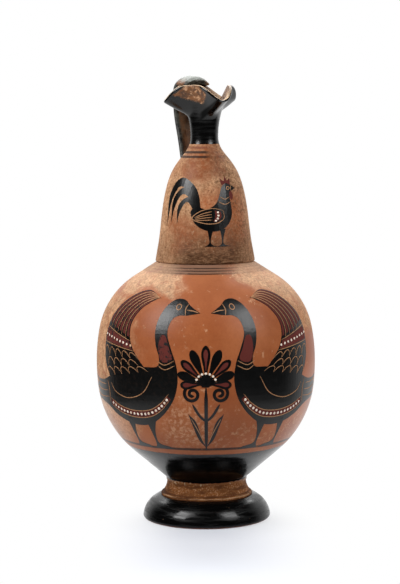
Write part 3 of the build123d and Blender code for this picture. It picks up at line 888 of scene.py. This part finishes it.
def swan(figure):
    """Standing swan with a raised sickle wing, facing along x."""
    figure.fill([
        (47, 99, 1), (38.5, 104), (33.5, 107.8), (27, 108.6), (20.8, 105), (16.4, 97), (14.8, 87), (16.2, 77),
        (19.4, 68), (18, 61.5), (8, 60.5), (-8, 58.5), (-24, 53), (-38, 47.5), (-51, 46.5), (-63, 48, 1),
        (-58, 43), (-64, 39.5, 1), (-56, 36.5), (-60, 31.5, 1), (-48, 30.5), (-36, 28), (-24, 22), (-8, 17.5),
        (8, 18.5), (21, 26.5), (30, 38), (33.5, 51), (32.5, 63), (28, 75), (24.6, 85), (26, 93.5),
        (30.5, 97.2), (37.5, 97.6),
    ])
    leg = [
        (-4, 23, 1), (5, 22, 1), (1.6, 12), (1.4, 4), (10, 1.4, 1), (13, -0.4, 1), (-4, -0.4, 1), (-1.4, 4),
        (-1.6, 12),
    ]
    for shift in (-10, 9):
        figure.fill(moved(leg, shift=shift))
    swan_wing(figure)
    for line in (
        [(14, 54), (6, 42), (-8, 37), (-22, 40), (-28, 46)],
        [(18.6, 62.5), (24, 59.5), (31.5, 62.5)], [(18, 65.5), (24, 62.8), (31, 66)],
        [(36.5, 105.2), (35.2, 101.5), (36.2, 97.6)], [(36, 101.2), (41, 100.6), (45.5, 99.4)],
        [(-36, 44), (-48, 43.75), (-60, 45.5)], [(-34, 39.5), (-45.5, 39), (-57, 40.5)],
        [(-33, 35), (-45.5, 33.9), (-58, 34.8)], [(-33, 47.5), (-31, 40), (-32, 31)],
    ):
        figure.incise(line)
    figure.circle((29.6, 103.2), 1.9)
    hem = [(-30, 32), (-18, 27.5), (-4, 25.5), (10, 27), (20, 32.5), (26.5, 39.5)]
    figure.redden(strip(smooth(hem), 4.0, taper=False))
    figure.dots(smooth(hem), 18, 0.98)
    for shift in (2.5, -2.5):
        figure.incise([(x, y + shift) for x, y in hem])
    figure.fill_red([
        (20.5, 66.5), (24, 64.6), (29.4, 67.2), (26.6, 75), (23.4, 83), (19.6, 83), (18.6, 75),
    ])


def swan_wing(figure):
    """The swan's wing: scales at its root, a dotted band and long feathers with red cores."""
    front = smooth([(13, 55), (3, 65), (-6, 77), (-8, 90), (-2, 101), (9, 108), (12, 108.4)], spacing=1.0)
    rear = [(-27, 47), (-36, 62), (-38, 80), (-33, 96), (-20, 108), (-3, 113.5), (12, 108.6)]
    wing = (front, smooth(rear, spacing=1.0))
    band_start, band_end, band_gap = 0.315, 0.405, 0.01
    figure.blacken(across(wing, (10, 36)))
    figure.redden(across(wing, (12, 3), (0.04, 0.96), (band_start, band_end)))
    figure.dots([between(wing, (band_start + band_end) / 2, share) for share in even(0, 1, 20)], 9, 0.9)
    for along in (band_start - band_gap, band_end + band_gap):
        figure.score([between(wing, along, share) for share in even(0, 1, 12)])
    feathers = 6
    for k in range(feathers):
        low, high = k / feathers, (k + 1) / feathers
        end = 0.985 - 0.035 * abs(k - 3)
        figure.redden(across(wing, (2, 26), (low + 0.035, high - 0.055), (0.45, end)))
        if k < feathers - 1:
            figure.score([between(wing, along, high) for along in even(0.425, 0.975, 22)])
    scales, bulge = 5, 0.07
    bow = [math.sqrt(math.sin(math.pi * t / 8)) for t in range(9)]
    for row, share in enumerate((0.05, 0.13, 0.21)):
        odd = row % 2
        for k in range(scales - odd):
            low = (k + 0.5 * odd) / scales
            scale = [between(wing, share + bulge * b, low + t / 8 / scales) for t, b in enumerate(bow)]
            figure.score(scale, LINE_WIDTH * 0.9)


def petal(angle, length, width, root):
    """Leaf outline that leaves a root point at an angle in degrees from upright."""
    turn = math.radians(angle)
    way = Vector((math.sin(turn), math.cos(turn)))
    side = Vector((way.y, -way.x))
    shares = [(0.0, 0.12), (0.35, 0.42), (0.72, 1.0), (0.92, 0.72), (1.0, 0.0)]
    right = [Vector(root) + way * length * a + side * width / 2 * b for a, b in shares]
    left = [Vector(root) + way * length * a - side * width / 2 * b for a, b in reversed(shares[:-1])]
    return [tuple(p) for p in right + left]


def spiral(centre, radius, turns, start, hand):
    """Points of a volute from its outer end in to its eye; start is in degrees, hand is 1 or -1."""
    points = []
    for share in even(0, 1, VOLUTE_STEPS):
        turn = math.radians(start) + hand * share * turns * 2 * math.pi
        points.append(polar(centre, radius * (1 - VOLUTE_CLOSING * share), turn))
    return points


def palmette(figure, root, size, petals=9):
    """Fan of petals on a pair of volutes, standing on a root point."""
    x, y = root
    for k, angle in enumerate(even(-PALMETTE_SPREAD, PALMETTE_SPREAD, petals - 1)):
        length = size * (1.0 - SIDE_PETAL_LOSS * (abs(angle) / PALMETTE_SPREAD) ** 1.5)
        figure.fill(petal(angle, length, size * PETAL_WIDTH, root))
        if k % 2 == 0:
            core_root = polar(root, CORE_START * length, math.radians(90 - angle))
            core = petal(angle, length * CORE_LENGTH, size * CORE_WIDTH, core_root)
            figure.fill_red(core, 0.9)
    heart = [(-0.2, 0.02), (0, HEART_RADIUS), (0.2, 0.02), (0, -0.1)]
    figure.fill([(x + size * a, y + size * b) for a, b in heart])
    turns = even(math.pi / 2 + HEART_TURN, math.pi / 2 - HEART_TURN, 18)
    arc = [polar(root, size * HEART_RADIUS, turn) for turn in turns]
    figure.score(arc)
    figure.dots(arc, 7, 0.85, 0.1, 0.9)
    for hand in (1, -1):
        centre = (x + hand * size * VOLUTE_ASIDE, y - size * VOLUTE_DROP)
        coil = spiral(centre, size * VOLUTE_RADIUS, 1.6, 90, -hand)
        lead = [Vector((x + hand * 0.4, y - size * 0.06))]
        figure.stroke(lead + coil, size * VOLUTE_WIDTH)


def standing_ornament(figure):
    """Palmette on a stem that springs from two leaves at the ground line."""
    palmette(figure, (0, 50), 27)
    figure.stroke(smooth([(0, -0.4), (0, 12), (0, 26), (0, 47)]), 2.6, taper=True)
    leaf = [(0.4, 2, 1), (4, 12), (7.5, 22), (13, 28, 1), (9.5, 18), (5.6, 8)]
    for hand in (1, -1):
        figure.fill(moved(leaf, hand))
        figure.stroke(smooth(moved([(0, 22), (5, 27), (9.7, 35)], hand)), 1.9, taper=True)
        figure.incise(moved([(1.6, 5), (5.4, 14), (10.6, 24)], hand))


def handle_ornament(figure):
    """Two palmettes back to back with long tendrils, as such jugs have under the handle."""
    palmette(figure, (0, 66), 34, petals=11)
    tendril = [(0.9, 64), (2.4, 51), (12, 38.5), (28, 35), (43, 40)]
    branch = [(22, 35.4), (33, 33), (46, 30.4)]
    for hand in (1, -1):
        high_coil = spiral((hand * 56, 58), 15, 1.7, -90, hand)
        low_coil = spiral((hand * 58, 19), 11, 1.6, 90, -hand)
        for path, coil, width in ((tendril, high_coil, 3.0), (branch, low_coil, 2.6)):
            figure.stroke(smooth(moved(path, hand) + [tuple(coil[0])])[:-1] + coil, width)
        for angle, length in ((-14, 18), (12, 23), (38, 17)):
            figure.fill(petal(hand * angle, length, 6.0, (hand * 28, 36)))
    for k, angle in enumerate(even(180 - 66, 180 + 66, 6)):
        length = 30 * (1 - 0.25 * abs(k - 3) / 3)
        figure.fill(petal(angle, length, 7.4, (0, 38)))
        if k % 2:
            figure.fill_red(petal(angle, length * 0.85, 3.4, (0, 38)), 0.9)


def cockerel(figure):
    """Standing cockerel with sickle tail feathers, facing along x."""
    figure.fill([
        (17.5, 38.6, 1), (13.4, 41), (9.6, 42), (6.2, 39.6), (4.2, 34), (1, 28), (-5, 25), (-11, 26.5),
        (-15, 23), (-12, 15), (-5, 10.6), (3, 10.4), (9.4, 14.4), (12.6, 21), (12.4, 28), (11.6, 33),
        (13.2, 36.4),
    ])
    comb = [
        (6.4, 41), (5.4, 45.4, 1), (8.2, 43.6), (9.4, 47, 1), (11, 43.8), (13.4, 45.6, 1), (13, 41.2),
        (9.6, 42.2),
    ]
    wattle = [(13, 37), (14.6, 34), (13.6, 30.8), (11.8, 32.4), (11.6, 35.6)]
    for outline in (comb, wattle):
        figure.fill_red(outline, 0.8)
    for reach, rise, drop in ((26, 24, 4), (22, 17.5, 2), (17, 11, 1)):
        tip = (-8 - reach, 14 + rise * 0.2 - drop)
        top = [
            (-8, 22), (-11, 22 + rise * 0.7), (-8 - reach * 0.55, 22 + rise),
            (-8 - reach * 0.95, 20 + rise * 0.62), tip,
        ]
        low = [
            (-13, 20), (-14, 19 + rise * 0.62), (-8 - reach * 0.58, 21 + rise * 0.8),
            (-8 - reach * 0.86, 18 + rise * 0.5), tip,
        ]
        figure.blacken(across((smooth(top), smooth(low)), (2, 22)))
    leg = [
        (-1.6, 12, 1), (2.4, 11.6, 1), (0.8, 6), (0.8, 1.6), (5, 0, 1), (-3.4, -0.2, 1), (-0.6, 2), (-0.6, 6),
    ]
    for shift in (-3, 5):
        figure.fill(moved(leg, shift=shift))
    wing = [(6, 24), (-1, 25.4), (-9, 23.4), (-14, 18.6), (-6, 15.4), (2, 15.6), (6.6, 19)]
    figure.incise(wing + wing[:1], 0.5)
    bar = (smooth([(4.4, 23), (4.8, 19.6), (2, 16.8)]), smooth([(0.6, 24), (0.8, 19.6), (-0.6, 16.4)]))
    figure.redden(across(bar, (2, 6)))
    figure.dots(smooth([(2.6, 23), (2.8, 19.6), (0.9, 17)]), 4, 0.7)
    for k in range(4):
        figure.incise([(-1.2, 23.4 - 1.9 * k), (-7, 22 - 1.5 * k), (-12.4, 19.4 - 0.7 * k)], FINE_LINE)
    for line in (
        [(13.6, 40.6), (13.2, 38.6), (13.6, 36.8)], [(4.6, 33), (8, 31.4), (11.6, 33)],
        [(3, 30), (7.6, 28), (12, 29.6)],
    ):
        figure.incise(line, FINE_LINE)
    figure.circle((11, 38.8), 1.1)


def decorate(nodes):
    """Birds and palmettes round the body and a cockerel on the bell."""
    wall = Wall([nodes["body_bowl"], nodes["body_shoulder"], nodes["neck_bell"]])
    paints = {
        "black": figure_material("figure_black", BLACK_SLIP, THIN_SLIP, (0.24, 0.36), 0.0),
        "red": figure_material("figure_red", ADDED_RED, BLACK_SLIP, (0.7, 0.85), 0.1),
        "line": figure_material("figure_incised", INCISED, BROWN_CLAY, (0.6, 0.8), 0.15),
        "white": figure_material("figure_white", ADDED_WHITE, WORN_CLAY, (0.6, 0.8), 0.1),
    }
    places = [
        ("left_swan", swan, -SWAN_TURN, GROUND_LINE, 1.0, 1),
        ("right_swan", swan, SWAN_TURN, GROUND_LINE, 1.0, -1),
        ("front_palmette", standing_ornament, 0, GROUND_LINE, 1.0, 1),
        ("back_palmettes", handle_ornament, 180, GROUND_LINE, 1.0, 1),
        ("neck_cockerel", cockerel, COCKEREL_TURN, COCKEREL_GROUND, COCKEREL_SIZE, 1),
    ]
    for name, draw, turn, ground, size, flip in places:
        figure = Figure(name, Panel(wall, CAMERA_AZIMUTH + turn, ground, size, flip), paints)
        draw(figure)
        figure.build()


def light_stage():
    """Soft boxes at both sides of the front and one above the back, which all face the jug."""
    target = Vector((0, 0, LAMP_TARGET_HEIGHT))
    for name, (aside, up, reach, size, power) in LAMPS.items():
        turn, rise = math.radians(CAMERA_AZIMUTH + aside), math.radians(up)
        flat = reach * math.cos(rise)
        offset = Vector((flat * math.sin(turn), -flat * math.cos(turn), reach * math.sin(rise)))
        light = bpy.data.lights.new(name, "AREA")
        light.shape = "RECTANGLE"
        light.size, light.size_y = size
        light.energy = power
        lamp = new_object(name, light)
        lamp.location = target + offset
        lamp.rotation_euler = (-offset).to_track_quat("-Z", "Y").to_euler()


def surround():
    """White all round for the camera; the light on the jug comes from the backdrop and the floor alone."""
    world = bpy.data.worlds.new("surround")
    bpy.context.scene.world = world
    nodes = Nodes(world, "Generated")
    backdrop = nodes.level(*BACKDROP_WAY).step(*BACKDROP_EDGE) * ~nodes.z.step(*BACKDROP_TOP)
    bright = backdrop | ~nodes.z.step(*FLOOR_EDGE)
    shade = nodes.field("ShaderNodeBackground", linear(WHITE), bright.blend(*LIGHT_STRENGTH))
    for path, strength in (
        ("Is Glossy Ray", bright.blend(*REFLECTED_STRENGTH)),
        ("Is Transmission Ray", 1.0),
        ("Is Camera Ray", 1.0),
    ):
        seen = nodes.field("ShaderNodeLightPath", output=path)
        light = nodes.field("ShaderNodeBackground", linear(WHITE), strength)
        shade = nodes.field("ShaderNodeMixShader", seen, shade, light)
    nodes.node("ShaderNodeOutputWorld", shade)


def lay_floor():
    """Pale round floor that shows in front of the foot, where the shadow lies, darker near the foot as a
    painted shadow, and fades to white around.
    """
    rim = [point.to_3d() for point in round_points((0, 0), FLOOR_REACH, FLOOR_SIDES)]
    mesh = bpy.data.meshes.new("floor")
    mesh.from_pydata(rim, [], [list(range(FLOOR_SIDES))])
    shader = Shader("floor_paper")
    aside = shader.aside / PAPER_HALF_WIDTH
    ahead = (shader.toward - PAPER_MIDDLE) / PAPER_HALF_DEPTH
    far = shader.math("SQRT", aside ** 2 + ahead ** 2)
    # Painted shadow: the paper is darker within a small radius of the foot
    colour = shader.radius.step(*PAINTED_SHADOW_RADII).tint(FLOOR_PAINTED_SHADOW, FLOOR_COLOUR)
    paper = shader.field("ShaderNodeBsdfDiffuse", colour)
    clear = shader.field("ShaderNodeBsdfTransparent")
    white = shader.field("ShaderNodeEmission", linear(WHITE), 1.0)
    seen = shader.field("ShaderNodeLightPath", output="Is Camera Ray")
    around = shader.field("ShaderNodeMixShader", seen, clear, white)
    surface = shader.field("ShaderNodeMixShader", far.step(*PAPER_FADE), paper, around)
    shader.node("ShaderNodeOutputMaterial", surface)
    mesh.materials.append(shader.material)
    floor = new_object("floor", mesh)


def set_camera():
    """Camera at the photograph's viewpoint."""
    data = bpy.data.cameras.new("camera")
    data.sensor_width = SENSOR
    data.lens = FOCAL_PIXELS * SENSOR / PHOTO_LONG_SIDE
    camera = new_object("camera", data)
    turn = math.radians(CAMERA_AZIMUTH)
    place = Vector((CAMERA_RANGE * math.sin(turn), -CAMERA_RANGE * math.cos(turn), CAMERA_HEIGHT))
    pose = Matrix.Translation(place)
    for degrees, axis in ((CAMERA_AZIMUTH + CAMERA_YAW, "Z"), (90 + CAMERA_PITCH, "X"), (CAMERA_ROLL, "Z")):
        pose = pose @ Matrix.Rotation(math.radians(degrees), 4, axis)
    camera.matrix_world = pose
    bpy.context.scene.camera = camera


def dress(nodes):
    """Materials of the thrown and pulled sections."""
    body = body_material()
    stem = stem_material()
    materials = {
        "body_bowl": body,
        "body_shoulder": body,
        "neck_bell": bell_material(),
        "foot_stem": stem,
        "luting_slip": stem,
        "foot_disc": slip_material("foot_slip", foot_bare, FOOT_GLOSS, FOOT_SPECULAR),
        "neck_tube": slip_material("tube_slip", tube_bare, TUBE_GLOSS),
        "mouth_trefoil": slip_material("mouth_slip", mouth_bare, SLIP_GLOSS, MOUTH_SPECULAR, mouth_sheen),
        "handle_strap": slip_material("handle_slip", handle_bare, HANDLE_GLOSS),
    }
    for name, material in materials.items():
        nodes[name].material_slots[0].material = material


for leftover in list(bpy.data.objects):
    bpy.data.objects.remove(leftover)
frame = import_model()
dress(frame["nodes"])
decorate(frame["nodes"])
lay_floor()
light_stage()
surround()
set_camera()
bpy.context.scene.view_settings.view_transform = "Standard"
